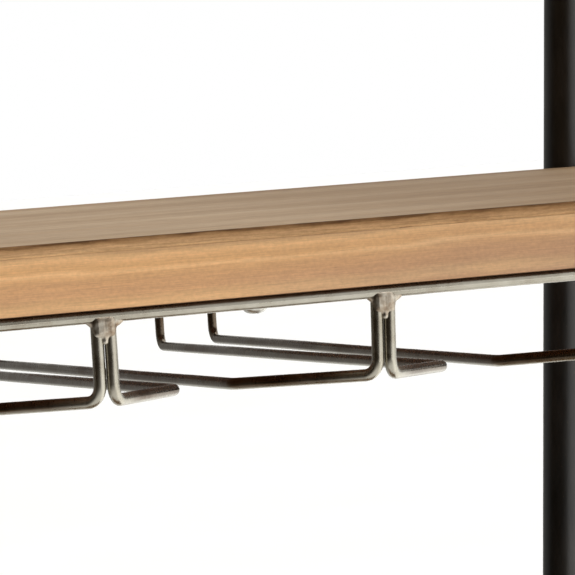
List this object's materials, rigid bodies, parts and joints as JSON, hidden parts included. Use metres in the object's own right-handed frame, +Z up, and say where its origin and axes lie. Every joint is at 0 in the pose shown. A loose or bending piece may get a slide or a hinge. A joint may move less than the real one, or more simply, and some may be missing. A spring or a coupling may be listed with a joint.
{
  "type": "bar cart",
  "caption": "Two-tier bar cart: wood shelves on leaning tube hoops, a wire stemware rack under the upper shelf, swivel casters with brake pedals.",
  "frame": {"origin": "on the floor under the centre of the cart", "axes": "+X along the cart, -Y to the front with the rack's mouths, +Z up"},
  "size_m": [0.7594, 0.4656, 0.8991],
  "materials": {
    "wood_core": "oiled solid wood edge, warm tan",
    "wood_face": "oiled matte top, grey brown",
    "raw_steel": "drawn raw steel wire, clear lacquer",
    "dark_steel": "dark bronze satin paint",
    "screw_steel": "plated screw heads",
    "zinc": "zinc plated pressed steel",
    "rim_grey": "moulded grey nylon",
    "tyre_rubber": "dark grey rubber",
    "pedal_steel": "black painted pressed steel"
  },
  "bodies": {
    "frame": {"end_hoop_left": "dark_steel", "end_hoop_right": "dark_steel", "upper_bearer_left": "dark_steel", "upper_bearer_right": "dark_steel", "lower_bearer_left": "dark_steel", "lower_bearer_right": "dark_steel", "guard_rail_left": "dark_steel", "guard_rail_right": "dark_steel", "guard_rail_front": "dark_steel", "guard_rail_back": "dark_steel", "upper_shelf_core": "wood_core", "upper_shelf_face": "wood_face", "lower_shelf_core": "wood_core", "lower_shelf_face": "wood_face", "rack_rod_front": "raw_steel", "rack_rod_back": "raw_steel", "rack_tabs": "raw_steel", "rack_screws": "screw_steel", "shelf_screws": "screw_steel", "foot_inserts": "dark_steel", "rack_pair_1": "raw_steel", "rack_pair_2": "raw_steel", "rack_pair_3": "raw_steel", "rack_end_wire_left": "raw_steel", "rack_end_wire_right": "raw_steel", "front_left_caster_stem": "zinc", "front_right_caster_stem": "zinc", "back_left_caster_stem": "zinc", "back_right_caster_stem": "zinc"},
    "front_left_caster": {"front_left_caster_fork": "zinc", "front_left_caster_balls": "zinc", "front_left_caster_axle": "zinc", "front_left_brake_pin": "zinc"},
    "front_left_wheel": {"front_left_wheel_rim": "rim_grey", "front_left_wheel_tyre": "tyre_rubber"},
    "front_left_brake": {"front_left_brake_pedal": "pedal_steel"},
    "front_right_caster": {"front_right_caster_fork": "zinc", "front_right_caster_balls": "zinc", "front_right_caster_axle": "zinc", "front_right_brake_pin": "zinc"},
    "front_right_wheel": {"front_right_wheel_rim": "rim_grey", "front_right_wheel_tyre": "tyre_rubber"},
    "front_right_brake": {"front_right_brake_pedal": "pedal_steel"},
    "back_left_caster": {"back_left_caster_fork": "zinc", "back_left_caster_balls": "zinc", "back_left_caster_axle": "zinc"},
    "back_left_wheel": {"back_left_wheel_rim": "rim_grey", "back_left_wheel_tyre": "tyre_rubber"},
    "back_right_caster": {"back_right_caster_fork": "zinc", "back_right_caster_balls": "zinc", "back_right_caster_axle": "zinc"},
    "back_right_wheel": {"back_right_wheel_rim": "rim_grey", "back_right_wheel_tyre": "tyre_rubber"}
  },
  "joints": [
    {"name": "front_left_swivel", "type": "hinge", "parent": "frame", "child": "front_left_caster", "pos_m": [-0.29374, -0.2098, 0.09], "axis": [0, 0, 1], "continuous": true},
    {"name": "front_left_wheel_spin", "type": "hinge", "parent": "front_left_caster", "child": "front_left_wheel", "pos_m": [-0.32174, -0.2098, 0.0375], "axis": [0, 1, 0], "continuous": true},
    {"name": "front_left_brake_press", "type": "hinge", "parent": "front_left_caster", "child": "front_left_brake", "pos_m": [-0.34814, -0.2098, 0.076], "axis": [0, -1, 0], "range_deg": [0, 19]},
    {"name": "front_right_swivel", "type": "hinge", "parent": "frame", "child": "front_right_caster", "pos_m": [0.29374, -0.2098, 0.09], "axis": [0, 0, 1], "continuous": true},
    {"name": "front_right_wheel_spin", "type": "hinge", "parent": "front_right_caster", "child": "front_right_wheel", "pos_m": [0.32174, -0.2098, 0.0375], "axis": [0, 1, 0], "continuous": true},
    {"name": "front_right_brake_press", "type": "hinge", "parent": "front_right_caster", "child": "front_right_brake", "pos_m": [0.34814, -0.2098, 0.076], "axis": [0, 1, 0], "range_deg": [0, 19]},
    {"name": "back_left_swivel", "type": "hinge", "parent": "frame", "child": "back_left_caster", "pos_m": [-0.29374, 0.2098, 0.09], "axis": [0, 0, 1], "continuous": true},
    {"name": "back_left_wheel_spin", "type": "hinge", "parent": "back_left_caster", "child": "back_left_wheel", "pos_m": [-0.32174, 0.2098, 0.0375], "axis": [0, 1, 0], "continuous": true},
    {"name": "back_right_swivel", "type": "hinge", "parent": "frame", "child": "back_right_caster", "pos_m": [0.29374, 0.2098, 0.09], "axis": [0, 0, 1], "continuous": true},
    {"name": "back_right_wheel_spin", "type": "hinge", "parent": "back_right_caster", "child": "back_right_wheel", "pos_m": [0.32174, 0.2098, 0.0375], "axis": [0, 1, 0], "continuous": true}
  ]
}
